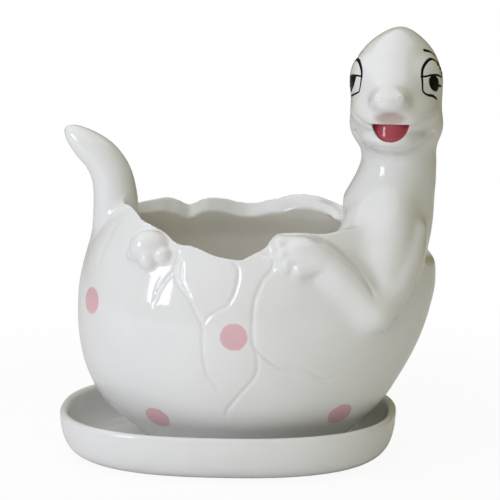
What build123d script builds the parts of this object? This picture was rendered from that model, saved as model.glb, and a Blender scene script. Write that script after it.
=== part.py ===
from build123d import *
import math
import os

# A glazed ceramic planter: a young dinosaur lies on its back in a broken egg, and the egg is
# the pot. Neck and head rise at one end and look over the front, the tail curls up at the
# other, and hands and feet hold the egg's rim. The pot stands loose in an oval saucer.
# Sizes are in millimetres. X runs from tail to neck, -Y is the front and Z is up. The origin
# is the middle of the saucer's underside.

# Saucer
saucer_length = 154.0
saucer_width = 116.0
saucer_height = 22.0
saucer_wall = 4.0
saucer_floor = 4.0
saucer_flare = 2.5  # how much wider the rim is than the base, each side
saucer_heel_radius = 12.0
saucer_well_radius = 7.0
saucer_lip_radius = 1.6
saucer_squareness = 2.4  # exponent of the oval, which is 2 for an ellipse
oval_point_count = 24

# Egg pot
egg_length = 162.0
egg_depth = 115.0
egg_height = 113.0
egg_wall = 4.5
egg_floor = 4.5
egg_shift = 12.0  # the egg's widest section stands this far towards the neck
foot_recess = 1.5
foot_ring_width = 6.0
drain_radius = 5.0
mouth_corner_radius = 32.0  # corners of the planting mouth
crack_width = 1.3
crack_depth = 0.8

# Neck and head
crown_height = 197.0  # top of the head above the table
neck_width = 33.5
neck_root_width = 41.0
neck_wall = 4.5
head_width = 42.0
head_length = 63.0
head_height = 55.0
head_turn = 4.0  # degrees that the face turns from the front towards the tail
mouth_width = 15.5
mouth_height = 8.0
smile_width = 1.2
smile_depth = 1.0
nose_radii = (8.5, 6.2, 8.5)  # sideways, up and forward
nostril_radius = 1.5
eye_radii = (9.5, 9.5, 3.5)  # along the cheek, up and outward
eye_turn = 64.0  # degrees from the face's front to where an eye looks

# Tail
tail_radius = 10.6
tail_rise = 52.0
tail_swing = 20.0

# Arms and feet
shoulder_radius = 9.0
elbow_radius = 7.2
wrist_radius = 6.6
palm_radius = 7.6
finger_radius = 2.8
foot_radii = (9.2, 7.0, 7.6)  # along the egg, outward and up
toe_radius = 3.6
shoulder_sink = 3.0  # how far the shoulder's middle lies inside the egg's outer face
arm_lift = 1.0  # how far the middle lines of forearm and hand lie outside the egg
finger_lift = 1.5
toe_lift = 1.0
foot_sink = 1.5  # how far a foot's middle lies inside the egg's outer face

cut_overrun = 10.0

# The egg's level sections: height, middle, half length and half depth, as shares of the
# egg's height, shift, half length and half depth.
egg_section_shares = [
    (0.000, 0.55, 0.480, 0.504),
    (0.035, 0.57, 0.533, 0.565),
    (0.106, 0.60, 0.647, 0.678),
    (0.186, 0.55, 0.768, 0.807),
    (0.319, 0.61, 0.883, 0.939),
    (0.451, 0.78, 0.952, 0.991),
    (0.584, 0.97, 0.986, 0.998),
    (0.690, 1.10, 0.993, 0.974),
    (0.805, 1.17, 0.958, 0.904),
    (0.903, 1.21, 0.895, 0.817),
    (1.000, 1.25, 0.790, 0.696),
]
cavity_height_shares = (0.106, 0.186, 0.319, 0.451, 0.584, 0.690, 0.805, 0.903, 1.000)
deck_height_share = 0.86  # above this the shell closes in under the tail and the neck

# The broken rim: place along the egg, front height and back height, as shares of the egg's
# length and height.
rim_shares = [
    (-0.463, 0.800, 0.850),
    (-0.392, 0.840, 0.876),
    (-0.352, 0.893, 0.910),
    (-0.318, 0.985, 0.925),
    (-0.278, 1.054, 0.920),
    (-0.247, 1.003, 0.946),
    (-0.210, 0.962, 0.958),
    (-0.173, 0.941, 0.949),
    (-0.136, 0.912, 0.926),
    (-0.105, 0.895, 0.934),
    (-0.074, 0.892, 0.949),
    (-0.037, 0.877, 0.945),
    (0.000, 0.863, 0.929),
    (0.037, 0.857, 0.919),
    (0.062, 0.857, 0.923),
    (0.086, 0.874, 0.930),
    (0.114, 0.890, 0.939),
    (0.142, 0.914, 0.944),
    (0.167, 0.936, 0.954),
    (0.198, 0.940, 0.963),
    (0.235, 0.941, 0.955),
    (0.272, 0.929, 0.937),
    (0.309, 0.908, 0.916),
    (0.358, 0.905, 0.890),
    (0.430, 0.895, 0.885),
    (0.490, 0.875, 0.875),
    (0.560, 0.835, 0.835),
    (0.630, 0.790, 0.790),
]
rim_line_share = 0.39  # the rim's front and back lie this share of the egg's depth from its middle

# Cracks in the shell's front, as shares of the egg's length and height.
crack_shares = [
    [(-0.104, 0.90), (-0.105, 0.840), (-0.097, 0.757), (-0.072, 0.693), (-0.041, 0.604),
     (-0.041, 0.513), (-0.022, 0.412), (0.004, 0.330)],
    [(0.050, 0.90), (0.057, 0.785), (0.045, 0.719), (-0.003, 0.660), (-0.041, 0.604)],
    [(0.142, 0.92), (0.117, 0.804), (0.099, 0.712), (0.094, 0.559), (0.108, 0.499),
     (0.153, 0.450), (0.246, 0.419), (0.326, 0.387)],
    [(0.105, 0.505), (0.105, 0.418), (0.058, 0.332), (0.024, 0.257), (0.028, 0.203)],
]  # fmt: skip

# The neck's level sections from its root in the egg to the head's middle: height, lean,
# half width and half depth, as shares of the neck's run, the neck's width, and half the
# width at the root or above it.
neck_root_shares = [
    (0.00, 0.000, 0.95, 1.40),
    (0.15, -0.010, 0.96, 1.36),
    (0.28, -0.010, 0.99, 1.14),
    (0.40, 0.030, 0.93, 0.95),
]
neck_top_shares = [
    (0.52, 0.095, 1.06, 1.06),
    (0.64, 0.125, 1.00, 1.02),
    (0.76, 0.130, 1.00, 1.02),
    (0.90, 0.110, 0.97, 1.00),
]
neck_root_height_share = 0.73
neck_place_share = 0.448
head_lean_share = 0.088

# The head's sections from back to snout: forward, lift, half width and half height, as shares
# of the head's length, height, half width and half height.
head_section_shares = [
    (-0.365, 0.020, 0.24, 0.26),
    (-0.320, 0.020, 0.47, 0.49),
    (-0.230, 0.018, 0.75, 0.76),
    (-0.110, 0.009, 0.945, 0.95),
    (0.016, 0.000, 1.000, 1.00),
    (0.143, -0.025, 0.995, 0.945),
    (0.254, -0.080, 0.970, 0.80),
    (0.365, -0.164, 0.915, 0.61),
    (0.460, -0.215, 0.820, 0.475),
    (0.540, -0.225, 0.650, 0.365),
    (0.590, -0.220, 0.420, 0.240),
]
head_back_shares = (0.020, -0.385)
head_tip_shares = (-0.215, 0.612)

# Places on the face: right, up and forward, as shares of the head's width, height and length.
nose_place_shares = (0.0, -0.035, 0.440)
nostril_place_shares = (0.130, 0.040, 0.548)
eye_place_shares = (0.372, 0.118, 0.175)
mouth_place_shares = (-0.205, 0.38)  # the upper lip's edge and the mouth's deepest point
smile_shares = [(0.17, -0.209), (0.28, -0.207), (0.36, -0.190), (0.42, -0.165)]

# The tail's path from its root in the egg to its tip: swing and rise shares, and radius share.
tail_path_shares = [
    (0.000, 0.000, 1.00),
    (-0.020, 0.280, 0.99),
    (0.000, 0.470, 0.93),
    (0.080, 0.644, 0.865),
    (0.295, 0.790, 0.80),
    (0.605, 0.894, 0.68),
    (0.855, 0.970, 0.49),
    (1.030, 1.030, 0.27),
]
tail_place_share = -0.315
tail_root_height_share = 0.81

# Places of the limbs on the egg, along and up, as shares of the egg's length and height.
shoulder_shares = (0.470, 0.850)
arm_shares = [(0.412, 0.642), (0.285, 0.845), (0.222, 0.880)]
finger_shares = [(0.165, 0.912), (0.166, 0.866), (0.182, 0.826), (0.214, 0.806)]
foot_shares = (-0.192, 0.876)
toe_shares = [(-0.236, 0.850), (-0.197, 0.834), (-0.160, 0.858)]


def between(shares, height):
    """A row of a share table at any height, on a smooth curve through the rows."""
    last = len(shares) - 1
    i = next((k for k in range(last) if height <= shares[k + 1][0]), last - 1)
    rows = [shares[min(max(k, 0), last)] for k in (i - 1, i, i + 1, i + 2)]
    step = rows[2][0] - rows[1][0]
    t = (height - rows[1][0]) / step
    found = []
    for before, start, end, after in zip(*(row[1:] for row in rows)):
        slope_start = (end - before) * step / (rows[2][0] - rows[0][0])
        slope_end = (after - start) * step / (rows[3][0] - rows[1][0])
        found.append(
            start * (1 - t) ** 2 * (1 + 2 * t)
            + slope_start * t * (1 - t) ** 2
            + end * t**2 * (3 - 2 * t)
            - slope_end * t**2 * (1 - t)
        )
    return found


def egg_section(height_share, inset=0.0):
    """Height, middle, half length and half depth of the egg's section, drawn in by an inset."""
    middle, half_length, half_depth = between(egg_section_shares, height_share)
    return (
        pot_base + height_share * egg_height,
        middle * egg_shift,
        half_length * egg_length / 2 - inset,
        half_depth * egg_depth / 2 - inset,
    )


def egg_point(along_share, height_share, side, lift):
    """The point over the egg's surface, on its front (side -1) or back (side 1)."""
    height, middle, half_length, half_depth = egg_section(height_share, -lift)
    along = along_share * egg_length
    offset = min(abs(along - middle) / half_length, 1)
    return Vector(along, side * half_depth * math.sqrt(1 - offset**2), height)


def oval(half_length, half_width):
    """A face in the shape of an oval that is a little squarer than an ellipse."""
    power = 2 / saucer_squareness
    line = []
    for i in range(oval_point_count):
        turn = math.tau * i / oval_point_count
        along = math.copysign(abs(math.cos(turn)) ** power, math.cos(turn))
        across = math.copysign(abs(math.sin(turn)) ** power, math.sin(turn))
        line.append((along * half_length, across * half_width))
    with BuildSketch() as face:
        with BuildLine():
            Spline(*line, periodic=True)
        make_face()
    return face.sketch


def loft_levels(rows):
    """A loft through level ellipses, each a height, middle, half length and half depth."""
    with BuildPart() as form:
        for height, middle, half_length, half_depth in rows:
            with BuildSketch(Plane((middle, 0, height))):
                Ellipse(half_length, half_depth)
        loft()
    return form.part


def loft_rings(path):
    """A loft through circles that stand square to a path of points, each with its radius."""
    points = [point for point, _ in path]
    with BuildPart() as form:
        for i, (point, radius) in enumerate(path):
            ahead = points[min(i + 1, len(points) - 1)] - points[max(i - 1, 0)]
            with BuildSketch(Plane(point, x_dir=(0, 1, 0), z_dir=ahead)):
                Circle(radius)
        loft()
    return form.part


def ball(plane, radii):
    """An ellipsoid with its three radii along a plane's x, y and z directions."""
    stretch = tuple(radius / radii[0] for radius in radii)
    return plane.location * scale(Sphere(radii[0], mode=Mode.PRIVATE), by=stretch, mode=Mode.PRIVATE)


def capsule(start, end, start_radius, end_radius):
    """A tapered length between two points with a ball at each, turned about its own axis."""
    length = (end - start).length
    tilt = math.asin((start_radius - end_radius) / length)
    side_start = Vector(start_radius * math.cos(tilt), start_radius * math.sin(tilt))
    side_end = Vector(end_radius * math.cos(tilt), length + end_radius * math.sin(tilt))
    with BuildPart() as form:
        with BuildSketch(Plane.XZ):
            with BuildLine():
                Line((0, -start_radius), (0, length + end_radius))
                RadiusArc((0, -start_radius), side_start, -start_radius)
                Line(side_start, side_end)
                RadiusArc(side_end, (0, length + end_radius), -end_radius)
            make_face()
        revolve(axis=Axis.Z)
    return Plane(start, z_dir=end - start).location * form.part


# Saucer: a flared oval dish with a flat base.
saucer_half = (saucer_length / 2, saucer_width / 2)
with BuildPart() as drip_saucer:
    with BuildSketch():
        add(oval(*(half - saucer_flare for half in saucer_half)))
    with BuildSketch(Plane.XY.offset(saucer_height)):
        add(oval(*saucer_half))
    loft()
    fillet(drip_saucer.edges().sort_by(Axis.Z)[0], saucer_heel_radius)
    with BuildPart(mode=Mode.PRIVATE) as saucer_well:
        with BuildSketch(Plane.XY.offset(saucer_floor)):
            add(oval(*(half - saucer_flare - saucer_wall for half in saucer_half)))
        with BuildSketch(Plane.XY.offset(saucer_height)):
            add(oval(*(half - saucer_wall for half in saucer_half)))
        loft()
        fillet(saucer_well.edges().sort_by(Axis.Z)[0], saucer_well_radius)
    add(saucer_well.part, mode=Mode.SUBTRACT)
    fillet(drip_saucer.edges().group_by(Axis.Z)[-1], saucer_lip_radius)
drip_saucer.part.label = "drip_saucer"

# Egg pot: the whole egg's outer form first, because the other pieces are cut to it.
pot_base = saucer_floor
egg_rows = [egg_section(row[0]) for row in egg_section_shares]
neck_x = neck_place_share * egg_length
tail_x = tail_place_share * egg_length
mouth_left = tail_x + tail_radius
planting_length = neck_x - neck_root_width / 2 - mouth_left


def rim_face(side):
    """The space above the rim line, drawn on the plane beyond the egg's front or back."""
    reach = egg_depth / 2 + cut_overrun
    stretch = reach / (rim_line_share * egg_depth)
    line = []
    for along, front, back in rim_shares:
        tilt = (back - front) / 2 * side * stretch
        line.append((along * egg_length, pot_base + ((front + back) / 2 + tilt) * egg_height))
    ceiling = pot_base + egg_height + cut_overrun
    with BuildSketch(Plane.XZ.offset(-side * reach)) as face:
        with BuildLine():
            Spline(*line)
            Polyline(line[-1], (line[-1][0], ceiling), (line[0][0], ceiling), line[0])
        make_face()
    return face.sketch


with BuildPart() as above_rim:
    loft([rim_face(-1), rim_face(1)], ruled=True)

with BuildPart() as egg_form:
    add(loft_levels(egg_rows))
    add(above_rim.part, mode=Mode.SUBTRACT)


floor_top = foot_recess + egg_floor
cavity_rows = [egg_section(floor_top / egg_height, egg_wall)]
cavity_rows += [egg_section(share, egg_wall) for share in cavity_height_shares]
pot_axis_x = egg_rows[0][1]
deck_underside, _, _, deck_half_depth = egg_section(deck_height_share, egg_wall)
planting_depth = 2 * deck_half_depth
with BuildPart() as cavity:
    add(loft_levels(cavity_rows))
    with BuildSketch(Plane.XY.offset(deck_underside)):
        Rectangle(2 * egg_length, 2 * egg_depth)
        with Locations((mouth_left + planting_length / 2, 0)):
            RectangleRounded(planting_length, planting_depth, mouth_corner_radius, mode=Mode.SUBTRACT)
    extrude(amount=egg_height, mode=Mode.SUBTRACT)

with BuildPart() as crack_cut:
    for crack in crack_shares:
        with BuildSketch(Plane.XZ.offset(rim_line_share * egg_depth / 2)):
            with BuildLine():
                Spline(*((along * egg_length, pot_base + up * egg_height) for along, up in crack))
            trace(line_width=crack_width)
        extrude(amount=egg_depth / 2)
    add(loft_levels([egg_section(row[0], crack_depth) for row in egg_section_shares]), mode=Mode.SUBTRACT)

with BuildPart() as egg_pot:
    add(egg_form.part)
    add(cavity.part, mode=Mode.SUBTRACT)
    add(crack_cut.part, mode=Mode.SUBTRACT)
    with BuildSketch(Plane((pot_axis_x, 0, pot_base))):
        Ellipse(egg_rows[0][2] - foot_ring_width, egg_rows[0][3] - foot_ring_width)
    extrude(amount=foot_recess, mode=Mode.SUBTRACT)
    with Locations((pot_axis_x, 0, pot_base)):
        Cylinder(drain_radius, 2 * (floor_top + cut_overrun), mode=Mode.SUBTRACT)
egg_pot.part.label = "egg_pot"


def on_egg(form):
    """The part of a limb that stands outside the egg, cut to seat on it."""
    with BuildPart() as seated:
        add(form)
        add(egg_form.part, mode=Mode.SUBTRACT)
    return seated.part


def arm_form(side):
    """Shoulder, elbow, wrist and hand on the egg's front (side -1) or back (side 1)."""
    shoulder = egg_point(*shoulder_shares, side, -shoulder_sink)
    elbow, wrist, palm = (egg_point(*share, side, arm_lift) for share in arm_shares)
    with BuildPart() as form:
        add(on_egg(capsule(shoulder, elbow, shoulder_radius, elbow_radius)))
        add(on_egg(capsule(elbow, wrist, elbow_radius, wrist_radius)))
        add(on_egg(capsule(wrist, palm, wrist_radius, palm_radius)))
        for share in finger_shares:
            tip = egg_point(*share, side, finger_lift)
            add(on_egg(capsule(palm, tip, finger_radius, finger_radius)))
    return form.part


def foot_form(side):
    """Foot and toes on the egg under the rim's front (side -1) or back (side 1)."""
    middle = egg_point(*foot_shares, side, -foot_sink)
    with BuildPart() as form:
        add(on_egg(ball(Plane(middle), foot_radii)))
        for share in toe_shares:
            tip = egg_point(*share, side, toe_lift)
            add(on_egg(capsule(middle, tip, toe_radius, toe_radius)))
    return form.part


# Arms and feet: the ones behind mirror the ones in front.
with BuildPart() as near_arm:
    add(arm_form(-1))
near_arm.part.label = "near_arm"

with BuildPart() as far_arm:
    add(arm_form(1))
far_arm.part.label = "far_arm"

with BuildPart() as near_foot:
    add(foot_form(-1))
near_foot.part.label = "near_foot"

with BuildPart() as far_foot:
    add(foot_form(1))
far_foot.part.label = "far_foot"

# Neck and head, hollow and open at the root as a slip casting is.
head_middle = Vector(neck_x, 0, crown_height - head_height / 2)
neck_root_height = pot_base + neck_root_height_share * egg_height
neck_run = head_middle.Z - neck_root_height
neck_rows = []
for shares, width in ((neck_root_shares, neck_root_width), (neck_top_shares, neck_width)):
    for up, lean, half_width, half_depth in shares:
        height = neck_root_height + up * neck_run
        middle = neck_x + lean * neck_width
        neck_rows.append((height, middle, half_width * width / 2, half_depth * width / 2))


face = Plane(
    head_middle + Vector(head_lean_share * neck_width, 0, 0),
    x_dir=Vector(1, 0, 0).rotate(Axis.Z, -head_turn),
    z_dir=Vector(0, -1, 0).rotate(Axis.Z, -head_turn),
)


def on_face(right, up, forward, turn=0.0):
    """A plane right, up and forward of the head's middle, turned about the upright."""
    place = (right * head_width, up * head_height, forward * head_length)
    return Plane(
        face.from_local_coords(place),
        x_dir=face.x_dir.rotate(Axis.Z, turn),
        z_dir=face.z_dir.rotate(Axis.Z, turn),
    )


def head_form(inset):
    """The skull and snout, lofted from back to tip and drawn in by an inset."""
    sections = []
    for forward, lift, half_width, half_height in head_section_shares:
        with BuildSketch(on_face(0, lift, forward)) as section:
            Ellipse(half_width * head_width / 2 - inset, half_height * head_height / 2 - inset)
        sections.append(section.sketch)
    back = on_face(0, *head_back_shares).origin
    tip = on_face(0, *head_tip_shares).origin
    with BuildPart() as form:
        loft([Vertex(*back), *sections, Vertex(*tip)])
    return form.part.move(Location(face.z_dir * -inset))


with BuildPart() as smile:
    for side in (-1, 1):
        with BuildSketch(face):
            with BuildLine():
                Spline(*((side * right * head_width, up * head_height) for right, up in smile_shares))
            trace(line_width=smile_width)
        extrude(amount=head_length)
    add(head_form(smile_depth), mode=Mode.SUBTRACT)

with BuildPart() as neck_and_head:
    add(loft_levels(neck_rows))
    bore_rows = []
    for height, middle, half_width, _ in neck_rows:
        bore_rows.append((height, middle, half_width - neck_wall, half_width - neck_wall))
    add(loft_levels(bore_rows), mode=Mode.SUBTRACT)
    add(head_form(0))
    add(ball(on_face(*nose_place_shares), nose_radii))
    for side in (-1, 1):
        right, up, forward = eye_place_shares
        add(ball(on_face(side * right, up, forward, side * eye_turn), eye_radii))
        right, up, forward = nostril_place_shares
        nostril = on_face(side * right, up, forward)
        add(ball(nostril, (nostril_radius, nostril_radius, nostril_radius)), mode=Mode.SUBTRACT)
    with BuildSketch(on_face(0, *mouth_place_shares)):
        with BuildLine():
            upper_lip = Line((-mouth_width / 2, 0), (mouth_width / 2, 0))
            ThreePointArc(upper_lip @ 0, (0, -mouth_height), upper_lip @ 1)
        make_face()
    extrude(amount=head_length, mode=Mode.SUBTRACT)
    add(smile.part, mode=Mode.SUBTRACT)
    for neighbour in (egg_form, near_arm, far_arm):
        add(neighbour.part, mode=Mode.SUBTRACT)
neck_and_head.part.label = "neck_and_head"

# Tail
tail_root = Vector(tail_x, 0, pot_base + tail_root_height_share * egg_height)
tail_path = [
    (tail_root + Vector(-swing * tail_swing, 0, rise * tail_rise), half * tail_radius)
    for swing, rise, half in tail_path_shares
]
with BuildPart() as tail:
    add(loft_rings(tail_path))
    with Locations(tail_path[-1][0]):
        Sphere(tail_path[-1][1])
    add(egg_form.part, mode=Mode.SUBTRACT)
tail.part.label = "tail"


os.makedirs("parts", exist_ok=True)
export_step(drip_saucer.part, "parts/drip_saucer.step")
export_step(egg_pot.part, "parts/egg_pot.step")
export_step(neck_and_head.part, "parts/neck_and_head.step")
export_step(tail.part, "parts/tail.step")
export_step(near_arm.part, "parts/near_arm.step")
export_step(far_arm.part, "parts/far_arm.step")
export_step(near_foot.part, "parts/near_foot.step")
export_step(far_foot.part, "parts/far_foot.step")
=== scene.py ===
# Ceramic planter: a young dinosaur lies in its broken egg, which stands in an oval saucer.
# Sizes in the dictionaries are millimetres in the CAD frame: X from tail to neck, -Y front, Z up.
import math

import bpy
import numpy as np
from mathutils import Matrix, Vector


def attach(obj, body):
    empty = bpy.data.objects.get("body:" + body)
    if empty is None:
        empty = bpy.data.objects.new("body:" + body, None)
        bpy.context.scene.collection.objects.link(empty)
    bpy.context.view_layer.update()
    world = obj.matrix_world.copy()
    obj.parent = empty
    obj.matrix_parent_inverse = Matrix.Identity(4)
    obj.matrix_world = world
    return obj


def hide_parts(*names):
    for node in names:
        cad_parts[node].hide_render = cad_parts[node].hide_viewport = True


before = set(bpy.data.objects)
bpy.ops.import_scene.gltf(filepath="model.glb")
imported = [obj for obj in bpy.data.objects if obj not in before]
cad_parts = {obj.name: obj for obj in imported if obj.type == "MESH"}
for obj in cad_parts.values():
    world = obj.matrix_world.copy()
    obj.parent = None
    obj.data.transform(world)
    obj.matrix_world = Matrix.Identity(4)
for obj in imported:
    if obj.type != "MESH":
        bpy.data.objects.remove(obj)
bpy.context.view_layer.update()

mm = 0.001
tiny, tinier = 1e-6, 1e-9  # against division by zero


# smooth tables and soft joins
def smoothRows(rows, steps=12):
    # between two rows the cubic whose end slopes are those of the neighbours' chord
    rows = np.array(rows, float)
    t, v = rows[:, :1], rows
    slope = np.gradient(v, t[:, 0], axis=0)
    s = np.linspace(0, 1, steps, endpoint=False)[None, :, None]
    gap = (t[1:] - t[:-1])[:, None, :]
    a, b, da, db = v[:-1, None], v[1:, None], slope[:-1, None] * gap, slope[1:, None] * gap
    body = (a * (1 + 2 * s) * (1 - s) ** 2 + da * s * (1 - s) ** 2
            + b * s ** 2 * (3 - 2 * s) - db * s ** 2 * (1 - s))
    return np.vstack([body.reshape(-1, rows.shape[1]), rows[-1:]])


def smoothPath(points, steps=8):
    # the same cubic through points in space, run by the point's number
    points = np.array(points, float)
    return smoothRows(np.column_stack([np.arange(len(points)), points]), steps)[:, 1:]


def join(a, b, soft):
    # soft minimum: the lower of two distances, rounded by a cubic where they nearly agree, so that
    # the curvature runs on too; soft is four times the rounding's depth
    wide = 1.5 * soft
    h = np.maximum(wide - np.abs(a - b), 0) / wide
    return np.minimum(a, b) - h ** 3 * wide / 6


def overlap(a, b, soft):
    # soft maximum: the soft minimum of the two distances with their signs turned
    return -join(-a, -b, soft)


def rise(t):
    # smooth step from 0 to 1
    t = np.clip(t, 0, 1)
    return t * t * (3 - 2 * t)


# distance formulas, all on whole arrays
def levelDistance(x, y, z, levels, inset=0.0):
    # distance to a form of level ellipses: (rho - 1) over the length of rho's gradient,
    # rho being the point's place as a share of the ellipse at its height
    cx, cy, a, b, dcx, dcy, da, db = (np.interp(z, levels[:, 0], column) for column in levels.T[1:])
    a, b = a - inset, b - inset
    u, v = (x - cx) / a, (y - cy) / b
    rho = np.sqrt(u * u + v * v) + tiny
    flat = np.sqrt((u / a) ** 2 + (v / b) ** 2) / rho
    steep = (u * (dcx + u * da) / a + v * (dcy + v * db) / b) / rho
    return (rho - 1) / np.sqrt(flat ** 2 + steep ** 2 + tinier)


def levelTable(rows):
    # smooth rows of height, middle x and y, half length and half depth, with their slopes added
    table = smoothRows(rows)
    slopes = np.gradient(table[:, 1:], table[:, 0], axis=0)
    return np.column_stack([table, slopes])


def capsuleDistance(x, y, z, start, end):
    # distance to the hull of balls along a length: past the foot on the middle line the nearest ball
    # lies the distance across times s / sqrt(1 - s^2) further on, s being the growth of the radius
    a, b = np.array(start[:3], float), np.array(end[:3], float)
    length = math.dist(a, b)
    d = (b - a) / length
    s = (end[3] - start[3]) / length
    px, py, pz = x - a[0], y - a[1], z - a[2]
    foot = px * d[0] + py * d[1] + pz * d[2]
    across2 = np.maximum(px ** 2 + py ** 2 + pz ** 2 - foot ** 2, 0)
    ball = np.clip(foot + np.sqrt(across2) * s / math.sqrt(1 - s * s), 0, length)
    return np.sqrt((foot - ball) ** 2 + across2) - start[3] - s * ball


def tubeDistance(x, y, z, path):
    # the least of the distances to a path's tapered lengths
    found = capsuleDistance(x, y, z, path[0], path[1])
    for start, end in zip(path[1:-1], path[2:]):
        found = np.minimum(found, capsuleDistance(x, y, z, start, end))
    return found


def ballDistance(x, y, z, centre, radii):
    # distance to an ellipsoid, near enough: k0 (k0 - 1) / k1 with k0 = |p / r| and k1 = |p / r^2|
    px, py, pz = x - centre[0], y - centre[1], z - centre[2]
    a, b, c = radii
    k0 = np.sqrt((px / a) ** 2 + (py / b) ** 2 + (pz / c) ** 2) + tiny
    k1 = np.sqrt((px / a ** 2) ** 2 + (py / b ** 2) ** 2 + (pz / c ** 2) ** 2) + tiny
    return k0 * (k0 - 1) / k1


def lineDistance(u, v, path):
    # signed distance across a line in a plane, the nearest point's way along it, and its length
    best = np.full(u.shape, np.inf)
    across, along = np.zeros(u.shape), np.zeros(u.shape)
    run = 0.0
    for a, b in zip(path[:-1], path[1:]):
        d = b - a
        length = math.hypot(*d)
        t = np.clip(((u - a[0]) * d[0] + (v - a[1]) * d[1]) / length ** 2, 0, 1)
        du, dv = u - a[0] - t * d[0], v - a[1] - t * d[1]
        far = np.sqrt(du * du + dv * dv)
        nearer = far < best
        side = np.where(d[0] * dv - d[1] * du >= 0, 1.0, -1.0)
        best = np.where(nearer, far, best)
        across = np.where(nearer, far * side, across)
        along = np.where(nearer, run + t * length, along)
        run += length
    return across, along, run


def grooveDepth(u, v, line, depth, width, fadeIn, fadeOut, lead=0):
    # a bell-shaped groove depth * exp(-(d / width)^2) beside a line, faded out at both ends
    d, run, length = lineDistance(u, v, line)
    ends = rise((run + lead) / fadeIn) * rise((length - run + lead) / fadeOut)
    return depth * ends * np.exp(-(d / width) ** 2)


# the broken egg
egg = {
    # height, middle x, middle y, half length, half depth
    "levels": [
        (2, 6.5, 0, 36.6, 27), (4, 6.6, 0, 38.9, 29), (8, 6.9, 0, 43.2, 32.5), (16, 7.2, 0, 52.4, 39),
        (25, 6.6, 0, 62.2, 46.4), (40, 7.3, 0, 71.5, 54), (55, 9.4, 0, 77.1, 57),
        (70, 11.6, 0, 79.9, 57.3), (82, 13.2, 0, 80.4, 56), (95, 14, 0, 77.6, 52),
        (106, 14.5, 0, 72.5, 47), (117, 15, 0, 64, 40), (127, 15, 0, 54, 32)],
    "wall": 4.5,
    "thickening": (90, 103, 3),  # between these heights the wall grows by the last value
    "base": 4,
    "footRound": 3,
    "footWall": 7,
    "footRecess": 1.5,
    "recessRound": 1,
    "floor": 10,
    "floorRound": 6,
    "lip": 5.6,  # height of the bright face between the broken edge and the pot's inside
    # x and height of the broken edge in front and behind
    "rimFront": [
        (-70, 90), (-64, 94.6), (-60, 100.2), (-56, 106), (-52.3, 111.6), (-48.5, 117),
        (-45.1, 120.4), (-42.5, 119.6), (-40, 117.6), (-36.2, 114.4), (-31.3, 112.8), (-26.5, 110.9),
        (-24.1, 109.6), (-21.7, 108.1), (-19.4, 106.9), (-17.1, 106.3), (-12.5, 106.1), (-8, 104.8),
        (-3.5, 103.1), (1, 102.1), (5.4, 101.6), (9.8, 101.4), (11.9, 102.3), (14.1, 103.5),
        (18.4, 105.4), (20.5, 106.4), (22.6, 108.1), (24.7, 109.9), (26.9, 110.9), (31.2, 111.3),
        (36, 111.2), (41, 111), (46, 111.2), (52, 112), (60, 112), (68, 109.5), (75, 105), (81, 99),
        (87, 93.5), (96, 89)],
    "rimBack": [
        (-70, 92), (-60, 102), (-52, 108), (-46, 111), (-41.8, 112.3), (-36.6, 112.8), (-34, 113),
        (-31.4, 112.6), (-28.8, 111.8), (-26.2, 110.8), (-23.7, 109.1), (-21, 108.5), (-18.2, 109.2),
        (-15.4, 110.6), (-12.7, 111.3), (-9.9, 111.4), (-4.4, 110.7), (1, 109), (3.8, 108.5),
        (8, 108.2), (12.2, 109), (15, 109.8), (17.9, 110.3), (23.5, 111), (26.3, 112), (29.2, 112.7),
        (32, 113), (34.8, 112.9), (37.6, 112.4), (40.4, 111.8), (43.2, 110.5), (46, 109), (52, 107.5),
        (60, 105), (70, 101), (80, 96), (88, 92), (96, 89)],
    "rimReach": 24,  # depth at which the two edges hold
    "rimSlope": 0.9,  # the broken face falls inward
    "rimRun": (-8, 1),  # between these distances from the shell
    "rimStretch": 1.15,  # height over distance to the slanting cut
    "deckSlope": 0.25,  # the deck beside the neck falls less, from the first of these x to the last
    "deckFrom": (40, 54),
    "rimRound": 1,
    "insideRound": 0.8,  # of the edge between the broken face and the inside
    "drain": (6.6, 5, 20),  # middle x, radius and top
    "mouth": (5.8, 46.3, 44.7, 32),  # middle x, half length, half depth, corner radius
    "mouthRound": (1.5, 1.2),  # where it meets the broken face, and the inside
}

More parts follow.
